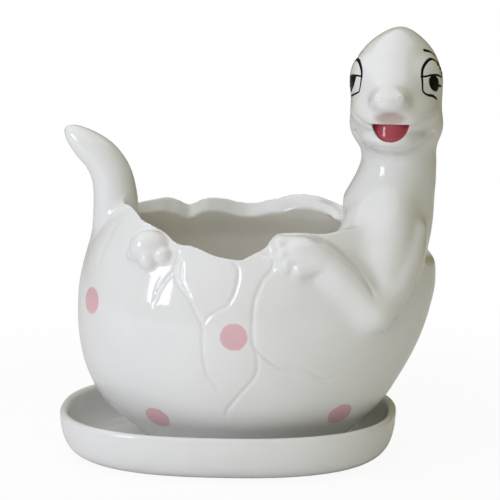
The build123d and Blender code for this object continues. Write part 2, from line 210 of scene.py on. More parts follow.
# grooves of the shell, seen from the front as x and height
cracks = {
    "backShift": 18,  # on the back each x counts from here, the other way
    # depth, half width and the line
    "lines": [
        (0.5, 0.95, [
            (-18.3, 104), (-18.1, 100.6), (-19.6, 95.1), (-17.2, 88.6), (-13.4, 84.5), (-9.3, 77.4),
            (-6.9, 72.2), (-6.7, 63.2), (-5.2, 52), (-1.2, 45.7), (1.3, 42.1)]),
        (0.3, 0.85, [(-16.2, 99.5), (-16.6, 92.4), (-14.4, 87.8), (-11.2, 83)]),
        (0.45, 1, [
            (-19.4, 96.2), (-21, 93.4), (-23.1, 91.4), (-26.2, 87), (-27.7, 83.4), (-28.6, 80)]),
        (0.25, 0.8, [(-24.6, 93.5), (-27.4, 88.5), (-28.9, 82), (-29.3, 78)]),
        (0.5, 1, [
            (6, 101.5), (6.5, 99.7), (8.6, 96.5), (8.5, 92.3), (7.2, 87.2), (4.2, 82), (-1.1, 78.7),
            (-5.2, 75.4), (-6.7, 71.6)]),
        (0.52, 1.05, [
            (16.8, 105), (18.6, 103.6), (22.1, 102.6), (23.9, 100.6), (23, 96.7), (19.6, 92.9),
            (17.5, 88.3), (15.8, 83.1), (15.2, 75.2), (15.2, 67.1), (16.6, 62.9), (20.1, 59.6),
            (26.7, 54.8), (36, 53.2), (40.4, 51.7), (45.4, 48.2), (49.2, 47.8), (52.5, 48.3)]),
        (0.45, 0.95, [(16.4, 63.5), (17.4, 55.5), (15.7, 49.5), (8.2, 40.2), (3.5, 33), (4.5, 28.9)]),
        (0.42, 0.9, [(-61.5, 97), (-60.4, 100.6), (-53.3, 111), (-47.7, 117.8)]),
        (0.25, 1, [(-56.5, 91), (-55.7, 94.3), (-50.3, 106.6), (-46.3, 111.9)]),
    ],
    "fade": 5,  # length over which a line runs out at its ends
    "lead": 1,  # of which this much lies beyond its last point
    "reach": 4,  # distance from the shell in which the grooves count
    "edgeOn": 3,  # none this near to the middle, where the shell is seen edge on
}

eggLevels = levelTable(egg["levels"])
rimFront, rimBack = smoothRows(egg["rimFront"]), smoothRows(egg["rimBack"])
crackPaths = [(depth, width, smoothPath(line, steps=5)) for depth, width, line in cracks["lines"]]


def crackDepth(x, y, z):
    # deepest of the shell's grooves
    total = np.zeros(x.shape)
    along = np.where(y < 0, x, cracks["backShift"] - x)
    fade = cracks["fade"]
    for depth, width, path in crackPaths:
        low, high = path.min(axis=0) - fade, path.max(axis=0) + fade
        near = (along > low[0]) & (along < high[0]) & (z > low[1]) & (z < high[1])
        if near.any():
            found = grooveDepth(along[near], z[near], path, depth, width, fade, fade, cracks["lead"])
            total[near] = np.maximum(total[near], found)
    return total


def rimHeight(x, y):
    # the front and back edges' heights, mixed in proportion to depth
    t = np.clip((y / egg["rimReach"] + 1) / 2, 0, 1)
    front, back = (np.interp(x, rim[:, 0], rim[:, 1]) for rim in (rimFront, rimBack))
    return (1 - t) * front + t * back


def eggDistance(x, y, z):
    # the egg's body below its broken edge, flat at the base
    body = levelDistance(x, y, z, eggLevels)
    near = (np.abs(body) < cracks["reach"]) & (np.abs(y) > cracks["edgeOn"])
    if near.any():
        body[near] += crackDepth(x[near], y[near], z[near])
    low, high = egg["deckFrom"]
    slope = egg["rimSlope"] + (egg["deckSlope"] - egg["rimSlope"]) * rise((x - low) / (high - low))
    cutHeight = rimHeight(x, y) + slope * np.clip(body, *egg["rimRun"])
    body = overlap(body, (z - cutHeight) / egg["rimStretch"], egg["rimRound"])
    return overlap(body, egg["base"] - z, egg["footRound"])


def cavityDistance(x, y, z):
    # the egg inside its wall, above the floor; above the deck's underside only within the mouth
    low, high, more = egg["thickening"]
    space = levelDistance(x, y, z, eggLevels, egg["wall"] + more * rise((z - low) / (high - low)))
    space = overlap(space, egg["floor"] - z, egg["floorRound"])
    middle, halfLength, halfDepth, corner = egg["mouth"]
    qx, qy = np.abs(x - middle) - halfLength + corner, np.abs(y) - halfDepth + corner
    outline = (np.sqrt(np.maximum(qx, 0) ** 2 + np.maximum(qy, 0) ** 2)
               + np.minimum(np.maximum(qx, qy), 0) - corner)
    under, beside = egg["mouthRound"]
    return overlap(space, join(outline, z - rimHeight(x, y) + egg["lip"], under), beside)


def recessDistance(x, y, z):
    # hollow under the foot, and the drain hole
    under = overlap(levelDistance(x, y, z, eggLevels, egg["footWall"]),
                    z - egg["base"] - egg["footRecess"], egg["recessRound"])
    middle, radius, top = egg["drain"]
    return np.minimum(under, np.maximum(np.sqrt((x - middle) ** 2 + y ** 2) - radius, z - top))


# neck and head
neck = {
    # height, middle x, middle y, half length, half depth
    "levels": [
        (66, 71, 0, 5, 8), (76, 73, 0, 9, 15), (84, 74, 0, 13.5, 23), (90, 74, 0, 16.3, 29.5),
        (96, 72.2, 0, 17.7, 32.5), (102, 71.6, 0, 19.6, 29.5), (107, 71.5, 0, 20.5, 25.4),
        (112, 71.6, 0, 20.9, 22.4), (118, 71.7, 0, 21.1, 20.7), (122, 72.9, 0, 20.1, 19.9),
        (127, 74.5, 0, 18.9, 19), (131, 75.6, 0, 17.9, 18.3), (136, 76.6, 0, 17, 17.6),
        (142, 76.8, 0, 16.5, 17.4), (150, 76.4, 1, 16.4, 18), (162, 76, 2, 13, 15)],
    # spreads from the neck's foot towards the forearms: x, y, z and radius at both ends
    "breast": [(65, -15, 110, 12), (72.5, -27.5, 99, 9)],
    "breastSoft": 4,
    "soft": 7,
}
head = {
    "place": (75.6, 0, 169.5),
    "turn": 4,  # degrees towards the tail
    # right, forward, up, then the radii the same way, and how softly it joins
    "forms": [
        (0, -1, 0.2, 20.3, 24, 27.2, 0),         # skull
        (0, 16, 2.4, 12, 13, 8.6, 8),            # bridge of the nose
        (0.2, 3, -16, 20.45, 17, 13.5, 6),       # jowls
        (0, 14, -7.5, 18.6, 21, 11.2, 6),        # upper snout
        (0, 13, -18.3, 15.2, 19.5, 7.6, 3),      # lower jaw
        (-0.2, 30.8, -0.8, 8.5, 8.8, 6.5, 4.4),  # nose
    ],
    # the skull narrows and leans right: from which height, over how much, by what share, how far
    "crown": (9, 18.5, 0.27, 1.2),
    "crownLimit": 1.2,
    "nostrilBump": (4.7, 36.1, 1, 1.6),
    "nostrilHole": (5.4, 38.1, 1.6, 0.4),
    "nostrilSoft": (2.5, 1),
    "eye": (13.4, 9.1, 5),
    "eyeRadii": (10.2, 5.6, 9.8),  # along the cheek, outward, up
    "eyeTurn": 66,
    "eyeSoft": 3.5,
    "dish": (0, 40, -10.5, 11, 7.5, 5),  # hollow between nose and mouth
    "dishSoft": 4,
    "mouth": (7.7, 7.4),  # half width and height of the lower half of an oval
    "mouthTop": -11.4,
    # how far forward, how fast it falls off sideways and how much it comes on below
    "mouthFloor": (29.1, 0.07, 0.26),
    "mouthRound": (1.2, 1.5),  # where the oval meets its straight top, and the floor
    "lipRound": 1.2,
    # its paint: from how far forward, half width, middle and half height, value elsewhere
    "paintBox": (12, 14, -14, 12, 20),
    # depth, half width and the line: right or left, and up
    "grooves": [
        (0.55, 0.8, [(6.8, -11.3), (9.2, -12), (12.2, -10.9), (14.2, -9.5), (16.6, -8.2), (19, -7.2)]),
        (0.6, 1.4, [(18.2, -16), (16.2, -18.2), (13.6, -20.8), (10.4, -23.6), (6, -26.6), (0, -28)]),
    ],
    "grooveFrom": (6, 12),  # the grooves fade in over this stretch forward
    "grooveFade": (2, 4),  # and at their start and end over these lengths
    "soft": 5,
}
neckLevels = levelTable(neck["levels"])
headLines = [(depth, width, smoothPath(line, steps=5)) for depth, width, line in head["grooves"]]


def headPoint(x, y, z):
    # the point seen from the head: right, forward and up of its middle
    a = math.radians(head["turn"])
    dx, dy = x - head["place"][0], y - head["place"][1]
    right = dx * math.cos(a) - dy * math.sin(a)
    forward = -dx * math.sin(a) - dy * math.cos(a)
    return right, forward, z - head["place"][2]


def fromHead(right, forward, up):
    # the way back, from right, forward and up of the head's middle to the frame
    a = math.radians(head["turn"])
    x = head["place"][0] + right * math.cos(a) - forward * math.sin(a)
    y = head["place"][1] - right * math.sin(a) - forward * math.cos(a)
    return x, y, head["place"][2] + up


def mouthDistance(right, forward, up):
    # the lower half of an oval, cut straight in down to a bulging floor
    halfWidth, height = head["mouth"]
    top = head["mouthTop"]
    atTop, atFloor = head["mouthRound"]
    oval = ballDistance(right, up, 0, (0, top, 0), (halfWidth, height, 1))
    outline = overlap(oval, up - top, atTop)
    middle, fall, lean = head["mouthFloor"]
    return overlap(outline, middle - fall * right ** 2 + lean * (top - up) - forward, atFloor)


def faceGrooves(side, forward, up):
    # deepest of the face's grooves, drawn from in front
    low, high = head["grooveFrom"]
    total = np.zeros(side.shape)
    near = forward > low
    if near.any():
        for depth, width, line in headLines:
            found = grooveDepth(side[near], up[near], line, depth, width, *head["grooveFade"])
            total[near] = np.maximum(total[near], found)
        total[near] *= rise((forward[near] - low) / (high - low))
    return total


def headDistance(x, y, z):
    # soft union of the ellipsoids of skull, snout and eyes, less the dish under the nose, the
    # nostrils, the mouth and the face's grooves
    r, f, u = headPoint(x, y, z)
    start, run, narrowing, lean = head["crown"]
    t = np.clip((u - start) / run, 0, head["crownLimit"]) ** 3
    found = None
    for form in head["forms"]:
        across = (r - lean * t) / (1 - narrowing * t) if found is None else r
        ball = ballDistance(across, f, u, form[:3], form[3:6])
        found = ball if found is None else join(found, ball, form[6])
    side = np.abs(r)
    a = math.radians(head["eyeTurn"])
    er, ef, eu = side - head["eye"][0], f - head["eye"][1], u - head["eye"][2]
    along, outward = er * math.cos(a) - ef * math.sin(a), er * math.sin(a) + ef * math.cos(a)
    eyeball = ballDistance(along, outward, eu, (0, 0, 0), head["eyeRadii"])
    found = join(found, eyeball, head["eyeSoft"])
    dish = ballDistance(r, f, u, head["dish"][:3], head["dish"][3:])
    found = overlap(found, -dish, head["dishSoft"])
    bump, hole = head["nostrilBump"], head["nostrilHole"]
    bumpSoft, holeSoft = head["nostrilSoft"]
    found = join(found, ballDistance(side, f, u, bump[:3], (bump[3],) * 3), bumpSoft)
    found = overlap(found, -ballDistance(side, f, u, hole[:3], (hole[3],) * 3), holeSoft)
    found = overlap(found, -mouthDistance(r, f, u), head["lipRound"])
    return found + faceGrooves(side, f, u)


# tail, arms and feet
tail = {
    # x, y, z and radius from root to tip
    "path": [
        (-51.6, -1, 90, 10.7), (-51.3, 0, 100, 10.6), (-50.7, 0, 110, 10.4), (-51, 0, 120, 9.8),
        (-52.7, 0, 129, 9.1), (-57, 0, 136.6, 8.2), (-63, 0, 142, 7), (-68.2, 0, 146.2, 4.9),
        (-71, 0, 148.3, 2.9)],
    "soft": 3.5,
}
arms = {
    # x, y, z and radius
    "ridge": [
        (75.5, -10, 124, 8), (74.5, -21, 111, 10.5), (73.2, -29, 98.5, 8.5), (72.2, -36.5, 88.5, 5.5),
        (70.8, -42, 81, 2.5)],
    "upper": [
        (84, -20, 108, 5.5), (82, -26.5, 99, 6.5), (78.8, -32, 91, 6.5), (74.5, -37, 84, 6.5),
        (67.8, -41, 77, 7)],
    "fore": [(67.8, -41, 77, 7), (60, -43.8, 86, 7.4), (51, -45, 95, 7.4), (44, -45.4, 101, 7)],
    "ridgeSoft": 2.5,
    "upperSoft": 8,
    "foreSoft": 6,
    "palm": (36.5, -47.4, 104, 9.2, 5.6, 6.8),  # middle, then radii
    "palmSoft": 3.5,
    "fingers": [
        (26.8, -47.1, 108, 2.7), (28, -49, 103.8, 2.7), (30, -50.4, 99.6, 2.7),
        (35.5, -51.2, 97.6, 3)],
    "knuckles": [
        (36, -46, 106.5, 3.4), (36, -47, 103.5, 3.4), (37, -48, 101, 3.4), (44, -49.6, 99, 3)],
    "fingerSoft": 1.2,
    # depth, half width and line, x and height
    "crease": (0.6, 0.8, [
        (37, 111), (44.4, 108.7), (48.3, 106.7), (52.3, 103.9), (55.8, 100.6), (59, 97.4),
        (62.2, 93.7), (64.8, 89.9), (67, 86.4), (68.8, 82.5)]),
    "creaseFade": 7,
    "creaseBox": (34, 75, 34, 99, 74, 116),  # on either side
}
feet = {
    "dome": (-31.4, -38, 103.6, 9.2, 6.5, 7.6),  # middle, then radii
    "toeFlat": 0.85,
    "toeSoft": 1.2,
    "soft": 2,
    # middle and radius
    "toes": [(-38.8, -36.4, 100.4, 3.3), (-31.9, -41.5, 98.6, 4.3), (-25.4, -42.4, 101, 3.8)],
}
tailPath = smoothPath(tail["path"], steps=16)
ridgePath, upperPath, forePath = (smoothPath(arms[k], steps=4) for k in ("ridge", "upper", "fore"))


def upperArmDistance(x, y, z):
    # the breast's ridge, which runs down to the elbow's bend, and the upper arm beside it
    ridge, upper = (tubeDistance(x, y, z, path) for path in (ridgePath, upperPath))
    return join(ridge, upper, arms["ridgeSoft"])


def forearmDistance(x, y, z):
    # the forearm as a tube, a flat ball for the palm and short lengths for the fingers
    found = tubeDistance(x, y, z, forePath)
    palm = arms["palm"]
    found = join(found, ballDistance(x, y, z, palm[:3], palm[3:]), arms["palmSoft"])
    for knuckle, tip in zip(arms["knuckles"], arms["fingers"]):
        found = join(found, capsuleDistance(x, y, z, knuckle, tip), arms["fingerSoft"])
    return found


def creaseDepth(x, z):
    # the groove between the forearm and the breast, drawn from in front
    depth, width, line = arms["crease"]
    fade = arms["creaseFade"]
    return grooveDepth(x, z, smoothPath(line, steps=3), depth, width, fade, fade)


def footDistance(x, y, z):
    # a flat ball for the foot and small balls for the toes
    dome = feet["dome"]
    found = ballDistance(x, y, z, dome[:3], dome[3:])
    for toe in feet["toes"]:
        radii = (toe[3], toe[3] * feet["toeFlat"], toe[3])
        found = join(found, ballDistance(x, y, z, toe[:3], radii), feet["toeSoft"])
    return found


def neckDistance(x, y, z):
    # the neck's level ellipses softly joined with the breast's tapered length on either side
    breast = capsuleDistance(x, -np.abs(y), z, *neck["breast"])
    return join(levelDistance(x, y, z, neckLevels), breast, neck["breastSoft"])


def bothSides(distance):
    # the near side's form mirrored to the far side
    return lambda x, y, z: distance(x, -np.abs(y), z)


# every part with the box in which it counts, x, y and z from and to, and how softly it joins
parts = [
    (neckDistance, (38, 110, -50, 50, 66, 160), neck["soft"]),
    (headDistance, (42, 108, -56, 40, 128, 205), head["soft"]),
    (lambda x, y, z: tubeDistance(x, y, z, tailPath), (-90, -28, -24, 24, 84, 160), tail["soft"]),
    (bothSides(upperArmDistance), (46, 106, -64, 64, 56, 142), arms["upperSoft"]),
    (bothSides(forearmDistance), (12, 90, -64, 64, 58, 128), arms["foreSoft"]),
    (bothSides(footDistance), (-52, -12, -60, 60, 86, 122), feet["soft"]),
]


def within(x, y, z, box):
    return (x > box[0]) & (x < box[1]) & (y > box[2]) & (y < box[3]) & (z > box[4]) & (z < box[5])


def planterDistance(x, y, z):
    # the egg with every part softly joined, then the pot's inside, foot and drain hole cut out
    found = eggDistance(x, y, z)
    for distance, box, soft in parts:
        m = within(x, y, z, box)
        if m.any():
            found[m] = join(found[m], distance(x[m], y[m], z[m]), soft)
    m = within(x, np.abs(y), z, arms["creaseBox"])
    if m.any():
        found[m] += creaseDepth(x[m], z[m])
    found = overlap(found, -cavityDistance(x, y, z), egg["insideRound"])
    return overlap(found, -recessDistance(x, y, z), egg["recessRound"])


# from distances to a mesh
meshing = {
    "low": (-78, -60, 1),
    "high": (100, 60, 199),
    "step": 0.85,
    "layers": 12,  # worked out at a time
    "triangles": 186000,
    "slopeStep": 0.12,
    "leastSlope": 1e-3,
    "longestMove": 0.5,
    "hollowReach": 1.6,  # how far out from the glaze hollows are felt for
}


def gridOfDistances():
    # the distance at every node of a cubic grid, some layers at a time
    axes = [np.arange(a, b, meshing["step"]) for a, b in zip(meshing["low"], meshing["high"])]
    field = np.empty([len(a) for a in axes], np.float32)
    count = meshing["layers"]
    for k in range(0, len(axes[2]), count):
        block = np.meshgrid(axes[0], axes[1], axes[2][k:k + count], indexing="ij")
        found = planterDistance(*(g.ravel() for g in block))
        field[:, :, k:k + count] = found.reshape(block[0].shape)
    return axes, field


def netOfSurface(axes, field):
    # surface net: one vertex in each cell that the surface crosses, at the mean of the crossings
    # on its edges, and one quad round each grid edge whose ends differ in sign
    inside = field < 0
    corners = [(i, j, k) for i in (0, 1) for j in (0, 1) for k in (0, 1)]
    cut = tuple(n - 1 for n in field.shape)
    count = sum(inside[i:i + cut[0], j:j + cut[1], k:k + cut[2]].astype(np.int8) for i, j, k in corners)
    cells = np.argwhere((count > 0) & (count < 8))
    number = np.full(cut, -1, np.int64)
    number[tuple(cells.T)] = np.arange(len(cells))
    total, hits = np.zeros((len(cells), 3)), np.zeros((len(cells), 1))
    for a in corners:
        for axis in range(3):
            if a[axis]:
                continue
            b = tuple(v + (axis == i) for i, v in enumerate(a))
            fa, fb = field[tuple((cells + a).T)], field[tuple((cells + b).T)]
            crossed = ((fa < 0) != (fb < 0))[:, None]
            t = (fa / np.where(fa == fb, 1, fa - fb))[:, None]
            point = np.array(a, float) + t * (np.array(b, float) - a)
            total += np.where(crossed, point, 0)
            hits += crossed
    points = (cells + total / hits) * meshing["step"] + [a[0] for a in axes]
    quads = []
    for axis in range(3):
        ahead, back = [slice(None)] * 3, [slice(None)] * 3
        ahead[axis], back[axis] = slice(1, None), slice(None, -1)
        here, there = inside[tuple(back)], inside[tuple(ahead)]
        edges = np.argwhere(here != there)
        u, v = (axis + 1) % 3, (axis + 2) % 3
        a, b = edges[:, u], edges[:, v]
        edges = edges[(a > 0) & (b > 0) & (a < cut[u]) & (b < cut[v])]
        ring = []
        for du, dv in ((1, 1), (0, 1), (0, 0), (1, 0)):
            cell = edges.copy()
            cell[:, u] -= du
            cell[:, v] -= dv
            ring.append(number[tuple(cell.T)])
        ring = np.stack(ring, 1)
        flip = ~here[tuple(edges.T)]
        ring[flip] = ring[flip][:, ::-1]
        quads.append(ring)
    return points, np.vstack(quads)


def unit(vectors):
    # each row over its own length
    return vectors / np.linalg.norm(vectors, axis=1, keepdims=True)


def slopes(points):
    # the distance's gradient by central differences
    columns, step = [], meshing["slopeStep"]
    for shift in np.eye(3) * step:
        ahead, back = points + shift, points - shift
        columns.append((planterDistance(*ahead.T) - planterDistance(*back.T)) / (2 * step))
    return np.stack(columns, 1)


def settle(points, rounds):
    # steps onto the surface: down the gradient by the distance left, or the longest move
    longest = meshing["longestMove"]
    for _ in range(rounds):
        g = slopes(points)
        d = planterDistance(*points.T)[:, None]
        steepness = (g * g).sum(1, keepdims=True) + meshing["leastSlope"]
        points = points - np.clip(d * g / steepness, -longest, longest)
    return points


def addObject(name, data):
    # a new object in the scene's own collection
    obj = bpy.data.objects.new(name, data)
    bpy.context.scene.collection.objects.link(obj)
    return obj


def smooth(mesh):
    # every face shaded smoothly
    mesh.polygons.foreach_set("use_smooth", np.ones(len(mesh.polygons), bool))


def listedMesh(name, points, faces):
    # one mesh object from points in millimetres and faces of any number of corners
    mesh = bpy.data.meshes.new(name)
    mesh.from_pydata((points * mm).tolist(), [], faces)
    smooth(mesh)
    return addObject(name, mesh)


def quadMesh(name, points, faces):
    # the same from whole arrays, every face with four corners
    mesh = bpy.data.meshes.new(name)
    mesh.vertices.add(len(points))
    mesh.vertices.foreach_set("co", (points * mm).astype(np.float32).ravel())
    mesh.loops.add(faces.size)
    mesh.loops.foreach_set("vertex_index", faces.astype(np.int32).ravel())
    mesh.polygons.add(len(faces))
    mesh.polygons.foreach_set("loop_start", np.arange(0, faces.size, faces.shape[1], dtype=np.int32))
    mesh.update(calc_edges=True)
    mesh.validate()
    smooth(mesh)
    return addObject(name, mesh)


def pointsOf(mesh):
    # a mesh's points in millimetres, one row each
    found = np.empty(len(mesh.vertices) * 3, np.float32)
    mesh.vertices.foreach_get("co", found)
    return found.reshape(-1, 3).astype(float) / mm


def closedFaces(rings, around, turned=False):
    # quads between rings of points, and triangles from the end rings to the two points after them;
    # turned gives them the other winding
    i, j = (g.ravel() for g in np.meshgrid(np.arange(rings - 1), np.arange(around), indexing="ij"))
    a, b = i * around + j, i * around + (j + 1) % around
    k, last = np.arange(around), (rings - 1) * around
    ahead, end = (k + 1) % around, np.full(around, rings * around)
    faces = []
    for corners in ((a, a + around, b + around, b), (end, k, ahead), (end + 1, last + ahead, last + k)):
        corners = corners[:1] + corners[:0:-1] if turned else corners
        faces += np.stack(corners, 1).tolist()
    return faces


def addValues(mesh, name, values):
    # one value per point, for the material to read
    attribute = mesh.attributes.new(name, "FLOAT", "POINT")
    attribute.data.foreach_set("value", values.astype(np.float32))


def buildPlanter():
    # the surface net, thinned and settled back onto the surface, with the gradient's direction as
    # its normals and with the values that the glaze reads
    axes, field = gridOfDistances()
    print("planter: distances on", field.size, "grid nodes")
    points, quads = netOfSurface(axes, field)
    points = settle(points, 1)
    obj = quadMesh("glazed_planter", points, quads)
    triangles = 2 * len(quads)
    print("planter: net of", triangles, "triangles")
    if triangles > meshing["triangles"]:
        thin = obj.modifiers.new("thin", "DECIMATE")
        thin.ratio = meshing["triangles"] / triangles
        thin.use_collapse_triangulate = True
        shown = obj.evaluated_get(bpy.context.evaluated_depsgraph_get())
        obj.data = bpy.data.meshes.new_from_object(shown)
        obj.modifiers.clear()
    mesh = obj.data
    points = settle(pointsOf(mesh), 2)
    mesh.vertices.foreach_set("co", (points * mm).astype(np.float32).ravel())
    normals = unit(slopes(points))
    smooth(mesh)
    mesh.normals_split_custom_set_from_vertices(normals.tolist())
    r, f, u = headPoint(*points.T)
    front, halfWidth, middle, halfHeight, elsewhere = head["paintBox"]
    near = (f > front) & (np.abs(r) < halfWidth) & (np.abs(u - middle) < halfHeight)
    addValues(mesh, "mouthPaint", np.where(near, mouthDistance(r, f, u), elsewhere))
    # distance to the pot's inside, which places the painted shade there
    addValues(mesh, "potInside", cavityDistance(*points.T))
    # how hollow it is: the share of a short way out along the normal that the distance lacks
    out = meshing["hollowReach"]
    addValues(mesh, "hollow", 1 - planterDistance(*(points + normals * out).T) / out)
    print("planter:", len(mesh.polygons), "faces after thinning")
    return obj


planter = buildPlanter()
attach(planter, "planter")
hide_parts("egg_pot", "neck_and_head", "tail", "near_arm", "far_arm", "near_foot", "far_foot")

# painted eyes
eyePaint = {
    "thick": 0.09,  # above the glaze
    "sunk": 0.1,  # below it
    "sides": 8,
    "rings": 8,
    "steps": 6,  # points from one given point of a line to the next
    "pointed": 0.7,  # length of a stroke's pointed end as a share of its width
    "dropFrom": 10,  # how far outside points start, and the share of the distance left in each drop
    "drops": 40,
    "dropShare": 0.8,
    # strokes: width at the start and end, then the line forward and up of the eye's middle
    "rightStrokes": [
        (1, 1.2, [(11.6, -2.6), (10.6, 0.3), (9.6, 3.4)]),
        (1.2, 1.5, [(9.6, 3.4), (8.1, 6), (5.8, 8), (2.8, 9.4), (-0.4, 9.9), (-3, 9.2)]),
        (1.5, 2.2, [(-3, 9.2), (-5.2, 7.4), (-6.5, 5), (-7.2, 2.4)]),
        (0.8, 1.1, [(10, 3.4), (7.6, 3.3), (4.8, 3.5), (0.8, 3.2), (-2.4, 2.4), (-5, 1.4)]),
        (1.1, 1.6, [(11.6, -2.6), (10.4, -3.9), (8, -4.9), (5, -5.5), (1.7, -7.2)]),
        (1.8, 1, [(-0.6, 13.4), (-3.2, 12.9), (-6.3, 11.7), (-9.6, 9.7)]),
    ],
    "leftStrokes": [
        (0.9, 1.1, [(9.2, -3.9), (8.9, -0.7), (8.3, 2.7)]),
        (1.1, 1.7, [(8.3, 2.7), (6.7, 5.3), (3.9, 7.5), (1.2, 8.6), (-1.6, 9)]),
        (1.7, 1.4, [(-1.6, 9), (-4.5, 8.2), (-6.7, 6.4), (-8.2, 4), (-9, 1.4)]),
        (0.8, 1, [(8.2, 2.8), (4.8, 2.7), (0.5, 2.3), (-3.6, 1.3), (-6.4, 0.4)]),
        (0.9, 1.3, [(9.2, -3.9), (5.8, -5.2), (2.4, -6.3), (-0.9, -7.2)]),
        (1.3, 0.6, [(-6.5, 11.6), (-9, 10.2), (-11.5, 8)]),
    ],
    # lashes, which sit a little further back and lower on the left
    "bothStrokes": [
        (1.9, 0.9, [(-4.2, 7.1), (-6.4, 7.4), (-8.4, 7.2)]),
        (1.9, 0.9, [(-5.2, 5.1), (-7.4, 5.2), (-9.4, 4.9)]),
        (1.8, 0.9, [(-6, 3), (-8.2, 2.9), (-10.2, 2.4)]),
        (1.3, 0.7, [(-1.6, -1.9), (-3.2, -2.2), (-4.8, -2.7)]),
    ],
    "leftShift": (-1.6, -0.9),
    # outlines, forward and up of the eye's middle
    "rightIris": [
        (4.3, 3.3), (6.2, 2), (6.5, -0.6), (5.2, -2.6), (2.6, -4), (0.1, -3.9), (-1.2, -2.3),
        (-0.9, 0.6), (1.1, 2.9)],
    "leftIris": [
        (4.4, 2.5), (3.8, -0.3), (2, -3.2), (-1.1, -5.5), (-3.9, -5), (-5.4, -2.8), (-5.4, 0),
        (-3.6, 1.5), (0.3, 2.3)],
    "black": (0.004, 0.004, 0.005),
    "worn": (0.012, 0.012, 0.014),
    "grain": 900,
    "roughness": (0.12, 0.3),
    "shine": 0.05,
}


def onFace(side, along, up):
    # points of the eye's plane dropped straight onto the glaze, each drop most of the distance left
    a = math.radians(head["eyeTurn"])
    out = np.full(len(along), eyePaint["dropFrom"])
    for _ in range(eyePaint["drops"]):
        right = head["eye"][0] + out * math.sin(a) - along * math.cos(a)
        forward = head["eye"][1] + out * math.cos(a) + along * math.sin(a)
        points = np.stack(fromHead(side * right, forward, head["eye"][2] + up), 1)
        out = out - eyePaint["dropShare"] * planterDistance(*points.T)
    return points


def strokeMesh(side, startWidth, endWidth, line):
    # a brush stroke: sections (w cos t across, h sin t up) along a line on the glaze, pointed ends
    path = smoothPath(line, eyePaint["steps"])
    centre = onFace(side, path[:, 0], path[:, 1])
    up = unit(slopes(centre))
    along = unit(np.gradient(centre, axis=0))
    across = unit(np.cross(along, up))
    n, m = len(centre), eyePaint["sides"]
    half = np.linspace(startWidth, endWidth, n)[:, None, None] / 2
    t = 2 * np.pi * np.arange(m) / m
    lift = np.where(np.sin(t) > 0, eyePaint["thick"], eyePaint["sunk"]) * np.sin(t)
    rings = centre[:, None] + half * np.cos(t)[:, None] * across[:, None] + lift[:, None] * up[:, None]
    pointed = along * eyePaint["pointed"]
    ends = np.stack([centre[0] - pointed[0] * startWidth, centre[-1] + pointed[-1] * endWidth])
    return np.vstack([rings.reshape(-1, 3), ends]), closedFaces(n, m)


def irisMesh(side, outline):
    # a lens on the glaze: rings shrink from the outline to its middle, raised and sunk by sqrt(1 - r^2)
    edge = smoothPath(outline + outline[:1], eyePaint["steps"])[:-1]
    middle = edge.mean(axis=0)
    m, rings = len(edge), eyePaint["rings"]
    r = 1 - np.arange(rings) / rings
    flat = np.vstack([(middle + r[:, None, None] * (edge - middle)).reshape(-1, 2), middle])
    base = onFace(side, flat[:, 0], flat[:, 1])
    up = unit(slopes(base))
    height = np.append(np.repeat(np.sqrt(1 - r ** 2), m), 1)[:, None]
    top = base + height * eyePaint["thick"] * up
    bottom = base - height * eyePaint["sunk"] * up
    # rings from the top's middle over the edge to the bottom's; the left outline is mirrored
    inward = np.arange(rings * m).reshape(rings, m)
    points = [top[inward[::-1].ravel()], bottom[inward[1:].ravel()], top[-1:], bottom[-1:]]
    return np.vstack(points), closedFaces(2 * rings - 1, m, turned=side < 0)


def buildEyes():
    # every stroke and both irises in one painted layer
    points, faces = [], []
    for side, name, shift in ((1, "right", (0, 0)), (-1, "left", eyePaint["leftShift"])):
        both = [(a, b, [(s + shift[0], u + shift[1]) for s, u in line])
                for a, b, line in eyePaint["bothStrokes"]]
        made = [strokeMesh(side, *stroke) for stroke in eyePaint[name + "Strokes"] + both]
        made.append(irisMesh(side, eyePaint[name + "Iris"]))
        for ownPoints, ownFaces in made:
            start = sum(len(p) for p in points)
            points.append(ownPoints)
            faces += [[start + v for v in face] for face in ownFaces]
    return listedMesh("painted_eyes", np.vstack(points), faces)


eyes = buildEyes()
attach(eyes, "planter")
print("eyes: done")

# saucer
saucer = {
    "halfLength": 76.76,
    "halfWidth": 57.7,
    "squareness": 2.42,  # exponent of the oval: 2 is an ellipse
    # offset inward from the rim and height, from the underside's middle round to the well's middle
    "profile": [
        (-76, 0), (-60, 0), (-36, 0), (-19, 0), (-14.5, 0.45), (-11, 1.3), (-7.9, 2.6), (-5.2, 4.5),
        (-3.2, 6.9), (-1.9, 9.5), (-1, 12.5), (-0.5, 15), (-0.1, 19), (0, 20.3), (-0.35, 21.3),
        (-1.1, 21.9), (-2, 22), (-2.9, 21.7), (-3.6, 20.9), (-4, 19.6), (-4.6, 15.5), (-5.6, 11),
        (-7.2, 7.8), (-9.4, 5.5), (-12.2, 4.3), (-16, 4), (-30, 4), (-60, 4), (-76, 4)],
    "turns": 240,
    "least": (0.6, 0.3),  # half length and half width of the smallest ring
}


def buildSaucer():
    # at angle t and profile point (o, h): the oval sgn(c)|c|^(2/n) times half length plus o, and the
    # same with the sine and half width, at height h; both sides end in a middle point
    profile = smoothPath(saucer["profile"], steps=4)
    t = np.linspace(0, 2 * np.pi, saucer["turns"], endpoint=False)
    power = 2 / saucer["squareness"]
    cx, cy = (np.sign(c) * np.abs(c) ** power for c in (np.cos(t), np.sin(t)))
    offset, height = profile[:, :1], np.maximum(profile[:, 1:2], 0)
    a = np.maximum(saucer["halfLength"] + offset, saucer["least"][0])
    b = np.maximum(saucer["halfWidth"] + offset, saucer["least"][1])
    grid = np.stack([a * cx, b * cy, np.broadcast_to(height, (len(profile), len(t)))], 2)
    middles = [[0, 0, height[0, 0]], [0, 0, height[-1, 0]]]
    points = np.vstack([grid.reshape(-1, 3), middles])
    return listedMesh("glazed_saucer", points, closedFaces(*grid.shape[:2], turned=True))


